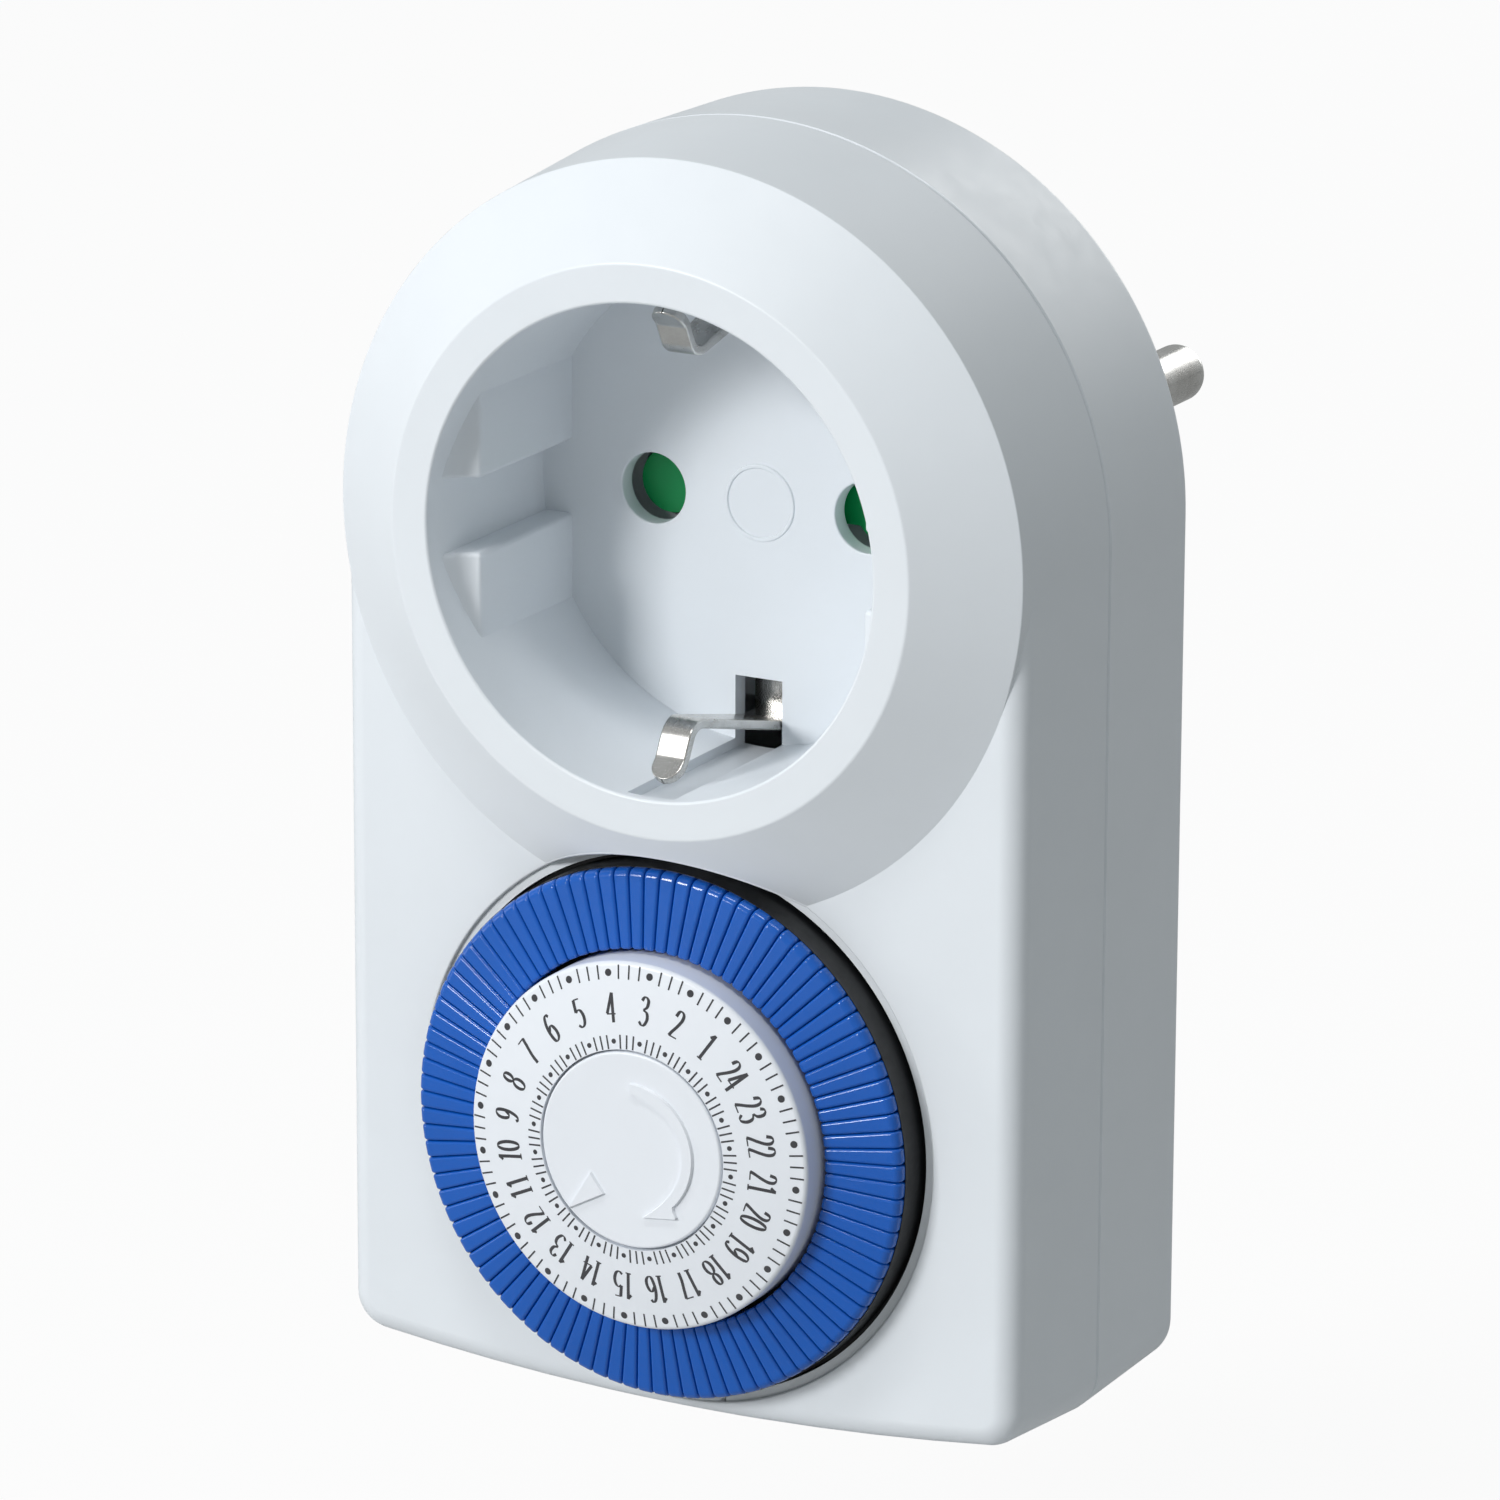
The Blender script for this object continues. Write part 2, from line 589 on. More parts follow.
def socket_well(skin):
    """Well with its floor, contact holes, channels, windows and guide ribs, one quarter drawn and
    mirrored."""
    plain = SPOKES[SPOKES <= CHANNEL_MEET + TOL]
    narrow = SPOKES[SPOKES >= CHANNEL_MEET - TOL]
    skin.grid(*carried(*about((0, 0), plain), path((WELL_R, LIP), (WELL_R, FLOOR))), "xz")

    # channel for the earth tongue: underside of the lip, back wall, side and window
    x = WELL_R * np.cos(np.radians(narrow))
    near, far = np.sqrt(WELL_R ** 2 - x ** 2), np.sqrt(CHANNEL_R ** 2 - x ** 2)
    lip = np.stack([place(x, near, LIP), place(x, far, LIP)], 1)
    skin.grid(lip, aim(0, 0, 1.0), "xz")
    wall = np.stack([place(x, far, LIP), place(x, far, FLOOR_BACK)], 1)
    skin.grid(wall, aim(-x, -far, 0)[:, None] / CHANNEL_R, "xz")
    shape = np.array([(near[0], LIP), (far[0], LIP), (far[0], FLOOR_BACK), (WINDOW_NEAR, FLOOR_BACK),
                      (WINDOW_NEAR, FLOOR), (near[0], FLOOR)])
    skin.cap([place(CHANNEL_W, shape[:, 0], shape[:, 1])], (-1, 0, 0), "xz")
    sill = place(np.array([[0, 0], [CHANNEL_W, CHANNEL_W]]), WINDOW_NEAR, np.array([[FLOOR, FLOOR_BACK]] * 2))
    skin.grid(sill, aim(0, 1.0, 0), "xz")

    # contact hole with an eased mouth, and the raised ring in the middle of the floor
    ease = 0.15
    half = np.linspace(180, 0, 33)
    hole = carried(*about((HOLE_X, 0), half), path(
        (HOLE_R + ease, FLOOR), (HOLE_R, FLOOR, ease), (HOLE_R, FLOOR_BACK), steps=3))
    skin.grid(*hole, "xz")
    foot, crest, crest_ease, raise_by = 0.2, 0.12, 0.08, 0.14
    top = FLOOR - raise_by
    ring = carried(*about((0, 0), np.linspace(0, 90, 17)), path(
        (MARK_R + foot, FLOOR), (MARK_R + crest, top, crest_ease), (MARK_R - crest, top, crest_ease),
        (MARK_R - foot, FLOOR), (0, FLOOR), steps=3))
    skin.grid(*ring, "xz")

    # floor and its underside
    hole_edge = in_plan(hole[0][:, 0])
    ring_edge = in_plan(ring[0][:, 0])
    wall_edge = WELL_R * ray(plain)
    sill_edge = [[CHANNEL_W, WINDOW_NEAR], [0, WINDOW_NEAR]]
    floor_edge = np.concatenate([ring_edge[:1], hole_edge, wall_edge, sill_edge, ring_edge[:0:-1]])
    skin.flat([floor_edge], FLOOR, -1, "xz")
    back_edge = in_plan(hole[0][:, -1])
    window_edge = np.stack([x, far], -1)
    under_edge = np.concatenate([[[0, 0]], back_edge, TUBE_R * ray(SPOKES), window_edge[::-1], sill_edge])
    skin.flat([under_edge], FLOOR_BACK, 1, "xz")
    guide_rib(skin)


def guide_rib(skin):
    """Guide rib: a hollow ramp, then a flat with a rounded front edge. With t the turn of the normal from
    the viewer towards the axis, the ramp is an arc q = q0 + r sin t, v = v0 + r cos t and the edge a
    smaller one that bulges. Over the near edge the open faces move in along their normals by
    ease * (1 - cos b) while the rib's end moves out by ease * sin b."""
    steep, shallow, ramp_r, ease = math.radians(72), math.radians(20), 3.9, RIB_EASE
    # how far it is let into the wall and into the floor
    in_wall, in_floor = 0.8, 0.2
    beta = np.radians(np.linspace(90, 0, 7))
    near_edge = RIB_NEAR + ease * (1 - np.sin(beta))
    plain = np.linspace(RIB_NEAR + ease, RIB_FAR, 8)[1:]
    z = np.concatenate([near_edge, plain])[:, None]
    shrink = np.concatenate([ease * (1 - np.cos(beta)), np.zeros(len(plain))])[:, None]
    tilt = np.concatenate([np.sin(beta), np.zeros(len(plain))])[:, None]
    back = np.sqrt((WELL_R + in_wall) ** 2 - np.maximum(z, RIB_NEAR + ease) ** 2)
    edge_q = RIB_FLAT + ease * (1 - math.sin(shallow))
    edge_v = RIB_FRONT + ease * (1 - math.cos(shallow))
    first = np.minimum(steep, np.arcsin(np.minimum(1, math.sin(shallow) + (back - edge_q) / ramp_r)))
    ramp = first + (shallow - first) * np.linspace(0, 1, 9)
    edge = np.broadcast_to(np.linspace(shallow, math.pi / 2, 7), (len(z), 7))
    q = np.concatenate([edge_q + ramp_r * (np.sin(ramp) - math.sin(shallow)),
                        RIB_FLAT + ease * (1 - np.sin(edge)), np.full(z.shape, RIB_FLAT)], 1)
    v = np.concatenate([edge_v + ramp_r * (np.cos(ramp) - math.cos(shallow)),
                        RIB_FRONT + ease * (1 - np.cos(edge)), np.full(z.shape, FLOOR + in_floor)], 1)
    turn = np.concatenate([ramp, edge, np.full(z.shape, math.pi / 2)], 1)
    q, v = q + np.sin(turn) * shrink, v + np.cos(turn) * shrink
    side = np.sqrt(1 - tilt ** 2)
    grid = place(q, z, v)
    skin.grid(grid, aim(-np.sin(turn) * side, -tilt, -np.cos(turn) * side), "xz")
    hidden = place(np.concatenate([q[:, -1:], back, back, q[:, :1]], 1), z,
                   np.concatenate([v[:, -1:], v[:, -1:], v[:, :1], v[:, :1]], 1))
    skin.grid(hidden, hidden - place(RIB_FLAT + 1, z, FLOOR / 2), "xz")
    for row, way in ((0, -1), (-1, 1)):
        skin.cap([np.concatenate([grid[row], hidden[row, 1:3]])], (0, 0, way), "xz")


def front_inside(skin, base, out):
    """Inside of the front shell: walls set in by the wall's thickness, a ceiling, the well's tube, and the
    skirt round the dial, which runs into the bottom wall where the two cross."""
    inset = np.array([[-WALL, SEAM], [-WALL - LEAN * (SEAM - WALL), WALL]])
    cross_x, cross_z = [], []
    for offset, _ in inset:
        r = BOW_R + offset
        height = (r ** 2 - SKIRT_R ** 2 - BOW_Z ** 2 + DIAL_Z ** 2) / (2 * (DIAL_Z - BOW_Z))
        cross_z.append(height)
        cross_x.append(math.sqrt(SKIRT_R ** 2 - (height - DIAL_Z) ** 2))
    keep = base[:, 0] > max(cross_x) + 1
    head = ray(SPOKES[::-1])
    base_in = np.concatenate([head * SEAM_W, base[keep][1:]])
    out_in = np.concatenate([head, out[keep][1:]])
    wall, _ = carried(base_in, out_in, (inset, inset))
    last = place(np.array(cross_x), np.array(cross_z), inset[:, 1])
    wall = np.concatenate([wall, last[None]])
    from_bow = np.array([cross_x[0], cross_z[0] - BOW_Z])
    way = np.concatenate([out_in, [from_bow / np.hypot(*from_bow)]])
    skin.grid(wall, aim(-way[:, 0], -way[:, 1], 0)[:, None], "x")

    start = np.degrees(np.arctan2(np.array(cross_z) - DIAL_Z, cross_x))
    turns = start + (90 - start) * np.linspace(0, 1, 40)[:, None]
    skirt_way = ray(turns)
    skirt = at_depth(SKIRT_R * skirt_way + [0, DIAL_Z], inset[:, 1])
    skin.grid(skirt, aim(skirt_way[..., 0], skirt_way[..., 1], 0), "x")

    full = np.concatenate([-SPOKES[:0:-1], SPOKES])
    tube = carried(*about((0, 0), full), path((TUBE_R, FLOOR_BACK), (TUBE_R, WALL)))
    skin.grid(*tube, "x")
    ceiling = in_plan(np.concatenate([wall[:, 1], skirt[1:, 1], tube[0][:, 1]]))
    skin.flat([ceiling], WALL, 1, "x")
    outer = np.concatenate([head * SEAM_W, base[1:]])
    recess = ray(np.linspace(-90, 90, 90)) * LEVER_ROOM_R + [0, DIAL_Z]
    inner = in_plan(np.concatenate([skirt[::-1, 0], wall[::-1, 0][1:]]))
    skin.flat([np.concatenate([outer, recess, inner])], SEAM, 1, "x")


piece("front_shell", front_housing(), "case", HOUSING, ["front_housing"])


# ---------------------------------------------------------------- rear housing

def rear_housing():
    """Rear shell: one profile carried along the whole outline, from the back over the rounded edge and the
    bevel at the seam to the inside, with the collar and the plug's body behind."""
    skin = Skin()
    base, out, *_ = lower_outline()
    head = ray(SPOKES[::-1])
    base = np.concatenate([head * SEAM_W, base[1:]])
    out = np.concatenate([head, out[1:]])
    # where the flat back begins, inside the edge's rounding
    back_off = -1.32
    rim = SEAM + SEAM_GAP
    shell = carried(base, out, path(
        (back_off, BACK), (-BACK_LEAN, BACK, BACK_EDGE_R), (0.0, rim + SEAM_BEVEL), (-SEAM_BEVEL, rim),
        (-WALL, rim), (-WALL - BACK_LEAN, BACK - WALL)))
    skin.grid(*shell, "x")
    half = np.linspace(-90, 90, 61)
    bore_r, bore_depth = 13.8, PLUG_FACE - 4.2
    bore = carried(*about((0, 0), half), path((bore_r, BACK - WALL), (bore_r, bore_depth)))
    skin.grid(*bore, "x")
    inner_back = in_plan(np.concatenate([shell[0][:, -1], bore[0][:, 0]]))
    skin.flat([inner_back], BACK - WALL, -1, "x")
    skin.flat([in_plan(bore[0][:, 1])], bore_depth, -1, "x")

    # back with the screw wells, collar, plug
    well_r, well_floor, well_ease = 2.55, BACK - 3.0, 0.05
    upper_well, lower_well = (17.75, 17.75), (SEAM_W - 6.4, 6.2 - FOOT)
    wells = []
    for middle in (upper_well, lower_well):
        counterbore = carried(*about(middle, np.linspace(0, 360, 37)), path(
            (0, well_floor), (well_r, well_floor), (well_r, BACK, well_ease), (well_r + well_ease, BACK),
            steps=3))
        skin.grid(*counterbore, "x")
        wells.append(in_plan(counterbore[0][:-1, -1]))
    collar_top, collar_foot, collar_ease = PLUG_R + 3.2, PLUG_R + 4.2, 0.4
    collar = carried(*about((0, 0), half), path(
        (PLUG_R - 1, COLLAR), (collar_top, COLLAR, collar_ease), (collar_foot, BACK)))
    skin.grid(*collar, "x")
    back = in_plan(np.concatenate([shell[0][:, 0], collar[0][:, -1]]))
    skin.flat([back, *wells], BACK, 1, "x")
    plug_body(skin)
    return skin.mesh("rear_shell")


def plug_contour(radius, cut):
    """Quarter of the plug's plan from the top to the side: channel, round, flat and groove. cut is 0 for the
    round plan and 1 for the cut one, and both have the same number of points."""
    channel_w, channel_q, flat_x, groove_w, groove_x = 3.05, 15.9, 16.55, 2.7, 14.85
    arc_points = 22
    groove_reach = math.sqrt(radius ** 2 - groove_w ** 2)
    flat = min(flat_x, groove_reach - 1e-4) if cut else groove_reach
    start = math.degrees(math.acos(channel_w / radius))
    end = math.degrees(math.acos(flat / radius))
    arc = ray(np.linspace(start, end, arc_points))
    floor = math.sqrt(radius ** 2 - channel_w ** 2)
    if cut:
        top = np.array([(0, channel_q), (channel_w, channel_q), (channel_w, channel_q), (channel_w, floor)])
        top_n = np.array([(0, 1), (0, 1), (-1, 0), (-1, 0)])
        side = np.array([(flat, radius * math.sin(math.radians(end))), (flat, groove_w), (flat, groove_w),
                         (groove_x, groove_w), (groove_x, groove_w), (groove_x, 0)])
        side_n = np.array([(1, 0), (1, 0), (0, -1), (0, -1), (1, 0), (1, 0)])
    else:
        over = ray(np.array([90, start, start, start]))
        below = ray(np.array([end, end, end, end, end, 0]))
        top, top_n, side, side_n = over * radius, over, below * radius, below
    points = np.concatenate([top, arc * radius, side])
    normals = np.concatenate([top_n, arc, side_n]).astype(float)
    curved = np.concatenate([np.zeros(len(top)), np.ones(arc_points), np.zeros(len(side))])
    return points, normals, curved


def plug_body(skin):
    """Plug: plan contours stacked from the collar to the face. They narrow slightly, then round the face's
    edge, and lean holds the angle by which each row's normal turns from the side towards the face."""
    cut_from = COLLAR + 1.5
    depths = np.array([cut_from, 48.4, 48.9, 49.4, 49.8, 50.1, PLUG_FACE])
    radii = np.array([17.78, 17.55, 17.47, 17.3, 17.0, 16.65, 16.3])
    lean = np.radians([1, 3, 12, 28, 45, 60, 72])
    rows = [plug_contour(r, 1) for r in radii]
    points = np.stack([at_depth(p, d) for (p, _, _), d in zip(rows, depths)], 1)
    normals = np.stack([aim(n[:, 0] * np.cos(a * c), n[:, 1] * np.cos(a * c), np.sin(a * c))
                        for (_, n, c), a in zip(rows, lean)], 1)
    skin.grid(points, normals, "xz")
    round_plan, round_n, _ = plug_contour(PLUG_R, 0)
    neck = np.stack([at_depth(round_plan, d) for d in (COLLAR, cut_from)], 1)
    skin.grid(neck, aim(round_n[:, 0], round_n[:, 1], 0)[:, None], "xz")
    ledge = np.stack([neck[:, 1], points[:, 0]], 1)
    skin.grid(ledge, aim(0, 0, 1.0), "xz")
    face, _, _ = rows[-1]
    skin.flat([np.concatenate([face, [[0, 0]]])], PLUG_FACE, 1, "xz")


piece("rear_shell", rear_housing(), "case", HOUSING, ["rear_housing"])


def plug_pin(side):
    """Pin turned about its axis, with a rounded tip, standing on the plug's face."""
    skin = Skin()
    tip, tip_r = PLUG_FACE + PIN_LEN, 0.9
    skin.grid(*carried(*about((side * HOLE_X, 0), np.linspace(0, 360, 49)), path(
        (0, tip), (PIN_R, tip, tip_r), (PIN_R, PLUG_FACE), (0, PLUG_FACE), steps=8)))
    return skin.mesh("pin")


for side, hand in ((-1, "left"), (1, "right")):
    piece("pin_" + hand, plug_pin(side), "case", NICKEL, ["plug_pin_" + hand])


# ---------------------------------------------------------------- low plateaus

def plan_arc(centre, radius, start, end, count):
    """Points of an arc in a plan, between two angles in degrees."""
    return np.asarray(centre, float) + radius * ray(np.linspace(start, end, count))


def raised(skin, outline, foot, top, bevel):
    """Low plateau on a plan outline: its sides lean in by the bevel, its top is flat. With s the sum of the
    unit vectors along the two lines at a corner, the corner moves in by 2 * bevel * (s turned square) / s^2,
    and s^2 counts as no less than sharpest."""
    sharpest = 0.4
    after = np.roll(outline, -1, 0)
    ahead = after - outline
    ahead = ahead / np.linalg.norm(ahead, axis=1, keepdims=True)
    both = ahead + np.roll(ahead, 1, 0)
    turn = np.sign((outline[:, 0] * after[:, 1] - outline[:, 1] * after[:, 0]).sum())
    inward = turn * np.stack([-both[:, 1], both[:, 0]], -1)
    inward = inward / np.maximum((inward ** 2).sum(-1, keepdims=True), sharpest) * 2
    upper = outline + inward * bevel
    close = np.r_[0:len(outline), 0]
    for a, b in zip(close, close[1:]):
        along = outline[b] - outline[a]
        side = turn * np.array([along[1], -along[0]]) / np.linalg.norm(along)
        quad = np.stack([at_depth(outline[[a, b]], foot), at_depth(upper[[a, b]], top)])
        skin.grid(quad, aim(side[0] * 0.8, side[1] * 0.8, -0.6))
    skin.flat([upper], top, -1)


# ---------------------------------------------------------------- earth clip and shutter

def earth_clip():
    """Sprung strip that earths a plug at the top and at the bottom: a rounded flat section carried along a
    bent line, narrower towards the crest, with round tips. Half of it is drawn, from the middle of its
    foot, and mirrored."""
    skin = Skin()
    thick, foot_w, tip_w, ease = 0.8, 4.1, 2.7, 0.18
    foot_q, arm_q, crest_q = 20.35, 18.0, 14.6
    bend, taper_from, crest = 14.2, 12.9, 0.9
    line, out = path((0, foot_q), (arm_q, foot_q, 1.2), (arm_q, bend, 2.5), (crest_q, crest, 1.7),
                     (17.4, -0.6, 1.5), (18.7, -2.05), steps=10)
    tip, line, out = line[-1], line[:-1], out[:-1]
    along = np.array([out[-1, 1], -out[-1, 0]])

    # the round tip: rows that follow a half circle, up to the end of the line
    tip_rows = 9
    turn = np.radians(np.linspace(0, 88, tip_rows))
    half_tip = tip_w / 2
    line = np.concatenate([line, tip + along * (half_tip * (np.sin(turn) - 1))[:, None]])
    out = np.concatenate([out, np.tile(out[-1], (tip_rows, 1))])
    share = np.clip((taper_from - line[:, 1]) / (taper_from - crest), 0, 1)
    half = (foot_w + (tip_w - foot_w) * share) / 2
    half[-tip_rows:] = half_tip * np.cos(turn)
    half = half[:, None]
    close = np.concatenate([np.zeros(len(half) - tip_rows), np.sin(turn)])[:, None]

    # the section: four corners rounded by ease, at quarter turns
    corner = np.append(np.repeat(np.arange(4), 5), 0)
    beta = np.radians(90 * corner + np.append(np.tile(np.linspace(0, 90, 5), 4), 0))
    side_x, side_y = np.array([1, -1, -1, 1])[corner], np.array([1, 1, -1, -1])[corner]
    across = side_x * np.maximum(half - ease, 0) + np.minimum(half, ease) * np.cos(beta)
    offset = side_y * (thick / 2 - ease) + ease * np.sin(beta)
    points = place(across, line[:, :1] + out[:, :1] * offset, line[:, 1:] + out[:, 1:] * offset)
    ahead = np.abs(np.cos(beta)) * close
    normals = aim(np.cos(beta) * np.sqrt(1 - close ** 2), out[:, :1] * np.sin(beta) + along[0] * ahead,
                  out[:, 1:] * np.sin(beta) + along[1] * ahead)
    skin.grid(points, normals, "z")

    # tabs that hold the strip behind the floor
    tab_w, tab_in, tab_out, tab_front, tab_back = 1.95, 13.9, 17.8, 16.4, 17.0
    line, out = path((tab_out, tab_front), (tab_in, tab_front), (tab_in, tab_back), (tab_out, tab_back),
                     (tab_out, tab_front))
    points = place(np.array([[-tab_w], [tab_w]]), line[:, 0], line[:, 1])
    skin.grid(points, aim(0, -out[:, 0], -out[:, 1]), "z")
    for x in (-tab_w, tab_w):
        skin.cap([place(x, line[:-1, 0], line[:-1, 1])], (x, 0, 0), "z")
    return skin.mesh("clip")


piece("earth_clip", earth_clip(), "case", NICKEL, ["socket_earth_clip"])


def shutter():
    """Shutter behind the contact holes: two discs and a hub joined by a bar, with an eased front edge."""
    skin = Skin()
    disc_r, hub_r, half_bar, bevel, front, back = 2.78, 3.0, 1.7, 0.2, 16.25, 16.85
    disc_end = math.degrees(math.asin(half_bar / disc_r))
    hub_end = math.degrees(math.asin(half_bar / hub_r))
    disc = plan_arc((HOLE_X, 0), disc_r, -180 + disc_end, 180 - disc_end, 41)
    hub = plan_arc((0, 0), hub_r, hub_end, 180 - hub_end, 21)
    outline = np.concatenate([disc, hub, -disc, -hub])
    raised(skin, outline, back, front, bevel)
    skin.flat([outline], back, 1)
    return skin.mesh("shutter")


piece("shutter_plate", shutter(), "shutter", GREEN, ["shutter"])


# ---------------------------------------------------------------- dial

def face_depth(radius):
    """Depth of the dial's domed face: a paraboloid that is SCALE_DEPTH at the outer scale."""
    return SCALE_DEPTH - (SCALE_R ** 2 - radius ** 2) / DOME


def dial_cap():
    """Dial: the dome, its rounded edge and its side turned about the dial's axis, with a seat for the hub cap
    and a hollow underneath."""
    skin = Skin()
    edge, foot, seat_r, bore_r, under, wall = 0.45, 1.3, HUB_R + 0.15, 1.7, -4.6, 1.5
    radii = np.linspace(seat_r, DIAL_R - edge, 12)[::-1]
    slope = np.arctan(2 * radii / DOME)
    dome = np.stack([radii, face_depth(radii)], -1), np.stack([np.sin(slope), -np.cos(slope)], -1)
    turn = np.linspace(0, math.pi / 2 - slope[0], 8)
    centre = dome[0][0] - edge * dome[1][0]
    rounding_n = np.stack([np.cos(turn), -np.sin(turn)], -1)
    side_r = centre[0] + edge
    ends = path((side_r, foot), (side_r, 0.0))
    inner = path((seat_r, dome[0][-1, 1]), (seat_r, SCALE_DEPTH), (bore_r, SCALE_DEPTH), (bore_r, under),
                 (DIAL_R - wall, under), (DIAL_R - wall, foot), (side_r, foot))
    points = np.concatenate([ends[0], centre + edge * rounding_n, dome[0], inner[0]])
    normals = np.concatenate([ends[1], rounding_n, dome[1], inner[1]])
    skin.grid(*carried(*about((0, DIAL_Z), np.linspace(0, 360, 145)), (points, normals)))
    return skin.mesh("dial")


def arrow_outline():
    """Raised arrow of the way of turning: a band that flares into a barbed foot, clockwise."""
    inner_r, outer_r, end, flare_in, flare_out = 4.6, 5.54, 91, -35, -46
    barb = [(3.9, -4.28), (4.15, -4.78), (4.09, -4.96)]
    t = np.linspace(0, 1, 9)[:, None]
    foot, pull, join = np.array([1.03, -5.28]), np.array([2.9, -4.0]), inner_r * ray(flare_in)
    curve = (1 - t) ** 2 * foot + 2 * t * (1 - t) * pull + t ** 2 * join
    return np.concatenate([plan_arc((0, 0), outer_r, end, flare_out, 40), barb, curve,
                           plan_arc((0, 0), inner_r, flare_in, end, 36)[1:]])


def hub_cap():
    """Cap at the dial's centre with the raised arrow and pointer."""
    skin = Skin()
    foot, edge, lean = HUB_DEPTH + 0.95, 0.22, 0.05
    skin.grid(*carried(*about((0, DIAL_Z), np.linspace(0, 360, 97)), path(
        (0, foot), (HUB_R, foot), (HUB_R - lean, HUB_DEPTH, edge), (0, HUB_DEPTH))))
    sunk, bevel = 0.02, 0.07
    pointer = np.array([(-3.54, -2.28), (-5.6, -5.65), (-2.29, -3.9)])
    for outline in (arrow_outline(), pointer):
        raised(skin, outline + [0, DIAL_Z], HUB_DEPTH + sunk, HUB_DEPTH - RELIEF, bevel)
    return skin.mesh("hub")


piece("dial_face", dial_cap(), "dial", DIAL_WHITE, ["dial_cap"])
piece("hub_face", hub_cap(), "case", DIAL_WHITE, ["hub_cap"])


def hour_turn(hour):
    """Degrees counter-clockwise from the top at which an hour stands."""
    return DIAL_TURN + HOUR * (hour - TOP_HOUR)


def bowed(*points):
    """Smooth line through points: between two of them the cubic p(t) whose slopes are half of the chords."""
    p = np.asarray(points, float)
    p = np.concatenate([2 * p[:1] - p[1:2], p, 2 * p[-1:] - p[-2:-1]])
    a, b, c, d = p[:-3, None], p[1:-2, None], p[2:-1, None], p[3:, None]
    t = np.linspace(0, 1, 6, endpoint=False)[None, :, None]
    q = b + 0.5 * t * (c - a) + t ** 2 * (a - 2.5 * b + 2 * c - 0.5 * d)
    q = q + 0.5 * t ** 3 * (3 * b - a - 3 * c + d)
    return np.concatenate([q.reshape(-1, 2), c[-1]])


def oval(x, y, across, up):
    """Closed oval about a point."""
    a = np.linspace(0, 2 * math.pi, 25)
    return np.stack([x + across * np.cos(a), y + up * np.sin(a)], -1)


# strokes of the figures in a box 0.5 wide and 1 high, where a nine is a six turned half round
SIX = [(.41, .88), (.31, .97), (.17, .88), (.07, .62), (.06, .34), (.13, .08), (.26, .02), (.41, .13),
       (.44, .33), (.36, .53), (.24, .57), (.09, .42)]
FIGURES = {
    "0": [oval(.25, .5, .19, .47)],
    "1": [[(.28, 1), (.28, 0)], [(.28, .97), (.12, .82)], [(.14, .01), (.42, .01)]],
    "2": [bowed((.07, .75), (.13, .93), (.26, .98), (.4, .89), (.41, .70), (.29, .44), (.14, .2), (.06, .04)),
          [(.06, .05), (.46, .05)]],
    "3": [bowed((.08, .84), (.16, .96), (.28, .98), (.4, .87), (.37, .66), (.2, .54)),
          bowed((.2, .54), (.4, .45), (.45, .25), (.34, .05), (.2, .02), (.06, .13))],
    "4": [[(.34, 1), (.04, .3)], [(.02, .29), (.48, .29)], [(.34, 1), (.34, 0)]],
    "5": [[(.43, .97), (.13, .97)], [(.14, .97), (.1, .54)],
          bowed((.1, .54), (.24, .61), (.38, .54), (.45, .33), (.38, .1), (.22, .02), (.06, .11))],
    "6": [bowed(*SIX)],
    "7": [[(.05, .96), (.46, .96)], bowed((.45, .96), (.33, .6), (.23, .3), (.19, 0))],
    "8": [oval(.25, .76, .15, .21), oval(.25, .27, .19, .25)],
    "9": [bowed(*[(.5 - x, 1 - y) for x, y in SIX])],
}


def on_face(skin, left, right):
    """Printed ribbon between two plan lines on the dial's face, a hair above it."""
    hair = 0.012
    plan = np.stack([left, right], 1)
    radius = np.linalg.norm(plan, axis=-1)
    skin.grid(at_depth(plan + [0, DIAL_Z], face_depth(radius) - hair), aim(0, 0, -1.0))


def stroke(skin, line, thick, thin, upright):
    """Pen stroke: its width is thick along the upright and thin across it."""
    line = np.asarray(line, float)
    along = np.gradient(line, axis=0)
    along = along / np.linalg.norm(along, axis=1, keepdims=True)
    width = thin + (thick - thin) * np.abs(along @ upright) ** 1.5
    half = np.stack([-along[:, 1], along[:, 0]], -1) * width[:, None] / 2
    on_face(skin, line + half, line - half)


def dial_print():
    """Printed scale: quarter-hour ticks and hour dots outside, numerals, and ticks with small dots inside."""
    skin = Skin()
    digit_w, digit_h, advance, centre_r, thick, thin = 0.86, 2.3, 0.92, 11.4, 0.27, 0.11
    tick_w = 0.14
    outside, inside = (13.6, 14.7, 14.1, 0.29), (8.2, 9.3, 8.8, 0.2)
    for tick_in, tick_out, dot_at, dot_r in (outside, inside):
        for k in range(HOURS * PER_HOUR):
            up = ray(90 + DIAL_TURN + TAPPET * k)
            across = np.array([up[1], -up[0]])
            if k % PER_HOUR:
                ends = np.array([tick_in, tick_out])[:, None] * up
                on_face(skin, ends + across * tick_w / 2, ends - across * tick_w / 2)
            else:
                half = np.linspace(0, 180, 11)
                one = up * dot_at + dot_r * (ray(half) @ np.array([up, across]))
                two = up * dot_at + dot_r * (ray(-half) @ np.array([up, across]))
                on_face(skin, one, two)
    for hour in range(1, HOURS + 1):
        up = ray(90 + hour_turn(hour))
        across = np.array([up[1], -up[0]])
        text = str(hour)
        for i, digit in enumerate(text):
            shift = (i - (len(text) - 1) / 2) * advance
            for line in FIGURES[digit]:
                p = np.asarray(line, float)
                x, y = (p[:, :1] / 0.5 - 0.5) * digit_w + shift, (p[:, 1:] - 0.5) * digit_h + centre_r
                stroke(skin, across * x + up * y, thick, thin, up)
    return skin.mesh("print")


piece("dial_marks", dial_print(), "dial", INK)


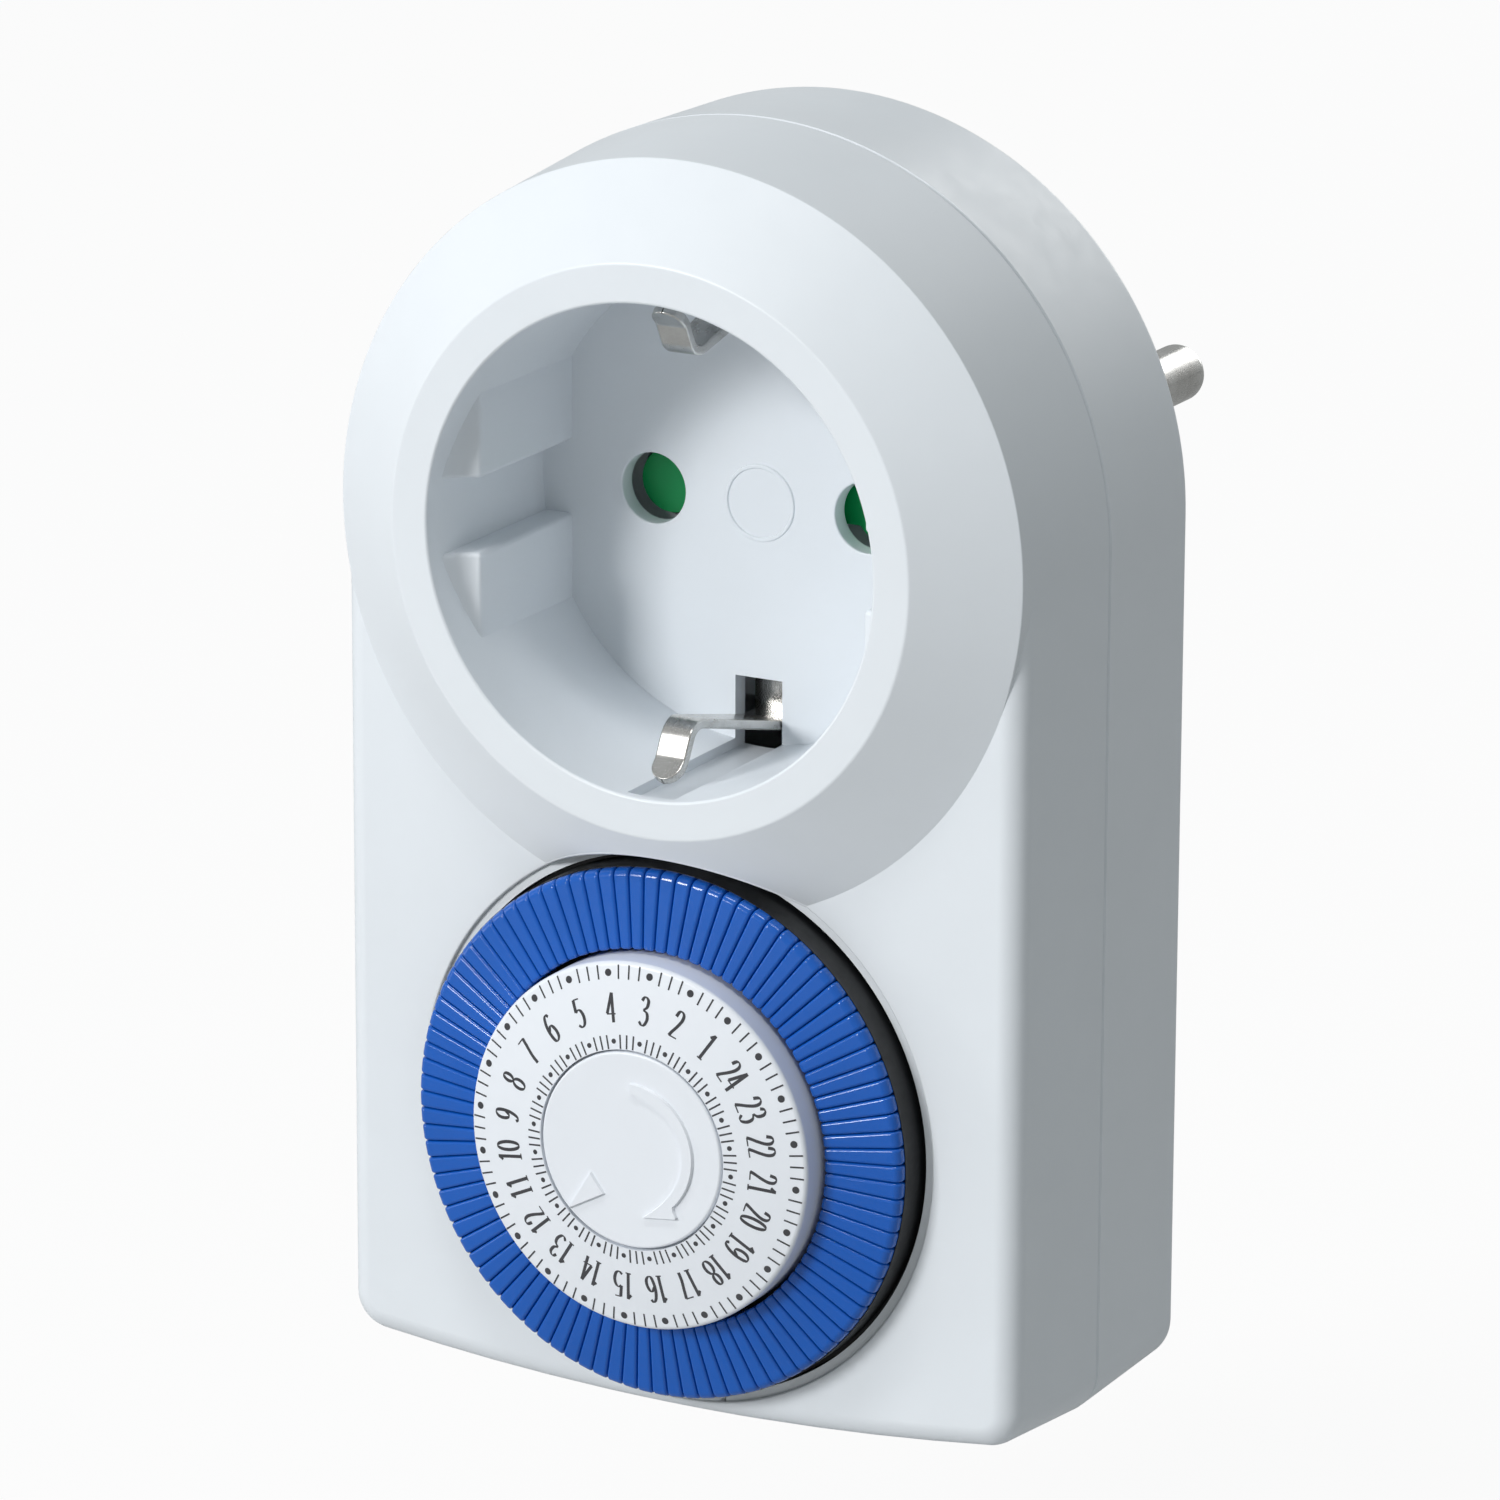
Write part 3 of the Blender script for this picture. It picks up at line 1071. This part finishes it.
def carrier_rim():
    """Upstanding rim of the carrier round the tappets, a profile turned about the dial's axis."""
    skin = Skin()
    inner, outer, top, foot = RING_R + 0.01, RING_R + 0.06, -2.3, 1.4
    skin.grid(*carried(*about((0, DIAL_Z), np.linspace(0, 360, 193)), path(
        (inner, foot), (outer, foot), (outer, top), (inner, top), (inner, foot))))
    return skin.mesh("rim")


piece("carrier_rim", carrier_rim(), "dial", BLACK)


def tappet_solid():
    """One tappet, pointing along +x in plan from the dial's axis. Lengthwise its section is outer wall,
    rounded shoulder, sloping crown and inner edge. Across, the sides follow two rays a gap inside the
    tappet's angle, and over each side edge the section moves in along its normal by ease * (1 - sin b)
    while the width grows by ease * cos b."""
    ease, gap, base = 0.27, 0.02, -1.0
    outer_top, shoulder, inner_top, inner_edge = -3.15, 0.7, -3.9, 0.25
    points, normals = path((RING_R, base), (RING_R, outer_top, shoulder), (RING_IN, inner_top, inner_edge),
                           (RING_IN, base), steps=4)
    over = [0, 22, 45, 68, 90]
    beta = np.radians(over + over[::-1])
    side = np.repeat([-1.0, 1.0], len(over))
    drop = ease * (1 - np.sin(beta))
    q = points[:, None, 0] - normals[:, None, 0] * drop
    depth = np.minimum(points[:, None, 1] - normals[:, None, 1] * drop, base)
    half = q * math.tan(math.radians(TAPPET / 2)) - gap
    across = side * (half - ease + ease * np.cos(beta))
    grid = np.stack([q, across, depth], -1)
    facing = np.stack([normals[:, None, 0] * np.sin(beta), np.broadcast_to(side * np.cos(beta), q.shape),
                       normals[:, None, 1] * np.sin(beta)], -1)
    return grid, facing


def stood(local, turn):
    """Points drawn along +x, turned to their place about the dial's axis."""
    return at_depth(turned(local[..., :2], turn) + [0, DIAL_Z], local[..., 2])


def stood_way(local, turn):
    """Directions turned as stood() turns points."""
    plan = turned(local[..., :2], turn)
    return aim(plan[..., 0], plan[..., 1], local[..., 2])


def tappets():
    """The tappets of each hour, one piece for each hour, turned to their places. A tappet's stem is a box."""
    grid, facing = tappet_solid()
    stem_q, stem_t, stem_depth = (16.3, 20.7), (-0.25, 0.25), (-1.2, 5.0)
    stem = np.array([[q, t, d] for q in stem_q for t in stem_t for d in stem_depth])
    tilt = math.radians(TAPPET / 2)
    for hour in range(1, HOURS + 1):
        skin = Skin()
        for k in range(PER_HOUR):
            turn = math.radians(90 + hour_turn(hour) + TAPPET * (k + 0.5))
            skin.grid(stood(grid, turn), stood_way(facing, turn))
            for column, sign in ((0, -1), (-1, 1)):
                normal = stood_way(np.array([-math.sin(tilt), sign * math.cos(tilt), 0.0]), turn)
                skin.cap([stood(grid[:, column], turn)], normal)
            skin.cap([stood(np.concatenate([grid[0], grid[-1][::-1]]), turn)], (0, 1, 0))
            box = stood(stem, turn).reshape(2, 2, 2, 3)
            middle = box.mean((0, 1, 2))
            for axis in range(3):
                for end in (0, 1):
                    quad = np.take(box, end, axis)
                    skin.grid(quad, quad.mean((0, 1)) - middle)
        node = "tappets_%02d" % hour
        piece("pegs_%02d" % hour, skin.mesh("pegs"), node, BLUE, [node])


tappets()


# ---------------------------------------------------------------- camera, light and floor

def camera():
    """Long lens at the front right, a little above, turned by a hair."""
    azimuth, elevation, roll = math.radians(28.63), math.radians(16.18), 0.004
    distance, focal_length, sensor, far = 0.654485, 204.21, 36, 10
    back = Vector((math.sin(azimuth) * math.cos(elevation), -math.cos(azimuth) * math.cos(elevation),
                   math.sin(elevation)))
    right = Vector((0, 0, 1)).cross(back).normalized()
    up = back.cross(right)
    right, up = (math.cos(roll) * right + math.sin(roll) * up, math.cos(roll) * up - math.sin(roll) * right)
    target = Vector((0.006551, FRONT_Y / 1000, -0.015762))
    data = bpy.data.cameras.new("camera")
    data.lens = focal_length
    data.sensor_width = sensor
    data.clip_end = far
    obj = in_scene("camera", data)
    stand = Matrix((right, up, back)).transposed().to_4x4()
    stand.translation = target + back * distance
    obj.matrix_world = stand
    bpy.context.scene.camera = obj


def lamp(name, stand, target, size, power):
    """Flat soft light, stood at a point in metres, that looks at another."""
    data = bpy.data.lights.new(name, "AREA")
    data.shape = "RECTANGLE"
    data.size, data.size_y = size
    data.energy = power
    obj = in_scene(name, data)
    obj.location = stand
    obj.rotation_euler = (Vector(stand) - Vector(target)).to_track_quat("Z", "Y").to_euler()


def studio():
    """A key light at the upper left whose shadows have narrow edges, a soft light above, a tall strip at
    the left and a wide light behind. The surroundings are white to the camera and grey to everything else,
    with a share of the white in reflections."""
    grey, white_in_reflections = (0.215, 0.235, 0.238, 1), 0.3
    middle = (0.0, -0.03, -0.02)
    lamp("key", (-0.72, -1.53, 0.68), middle, (0.45, 0.45), 18.6)
    lamp("top", (0.0, -0.42, 1.0), middle, (0.5, 0.13), 3.1)
    lamp("left", (-1.15, -0.5, -0.12), middle, (0.14, 1.1), 2.4)
    lamp("back", (0.12, 1.5, 0.5), middle, (0.8, 0.8), 6.5)
    world = bpy.data.worlds.new("studio")
    bpy.context.scene.world = world
    world.use_nodes = True
    tree = world.node_tree
    background = tree.nodes["Background"]
    light_path = tree.nodes.new("ShaderNodeLightPath")
    seen = tree.nodes.new("ShaderNodeMath")
    seen.operation = "MAXIMUM"
    tree.links.new(light_path.outputs["Is Camera Ray"], seen.inputs[0])
    reflected = tree.nodes.new("ShaderNodeMath")
    reflected.operation = "MULTIPLY"
    reflected.inputs[1].default_value = white_in_reflections
    tree.links.new(light_path.outputs["Is Glossy Ray"], reflected.inputs[0])
    tree.links.new(reflected.outputs[0], seen.inputs[1])
    tint = tree.nodes.new("ShaderNodeMix")
    tint.data_type = "RGBA"
    tint.inputs[6].default_value = grey
    tint.inputs[7].default_value = (1, 1, 1, 1)
    tree.links.new(seen.outputs[0], tint.inputs[0])
    tree.links.new(tint.outputs[2], background.inputs["Color"])


def floor():
    """White floor below the object: mostly its own white to the camera, so that a soft shadow stays on it."""
    half_size, height, own_white, brightness = 3.0, -0.1, 0.9, 1.03
    f = Finish("floor_white", Roughness=0.9)
    clouds = f.span(f.noise(size_mm=40), 0.3, 0.7)
    f.set(Base_Color=f.blend(clouds, (0.55, 0.55, 0.55, 1), (0.57, 0.57, 0.57, 1)))
    mesh = bpy.data.meshes.new("floor")
    corners = [(half_size * x, half_size * y, height) for x, y in ((-1, -1), (1, -1), (1, 1), (-1, 1))]
    mesh.from_pydata(corners, [], [(0, 1, 2, 3)])
    obj = in_scene("floor", mesh)
    mesh.materials.append(f.material)
    to_camera = f.node("ShaderNodeLightPath", output="Is Camera Ray")
    glow = f.node("ShaderNodeEmission", None, {"Color": (1, 1, 1, 1), "Strength": brightness})
    lit = Value(f, f.shader.outputs[0])
    mixed = f.node("ShaderNodeMixShader", None, {0: to_camera * own_white, 1: lit, 2: glow})
    f.tree.links.new(mixed.socket, f.tree.nodes["Material Output"].inputs["Surface"])


camera()
studio()
floor()
bpy.context.scene.view_settings.view_transform = "Standard"

bpy.context.view_layer.update()
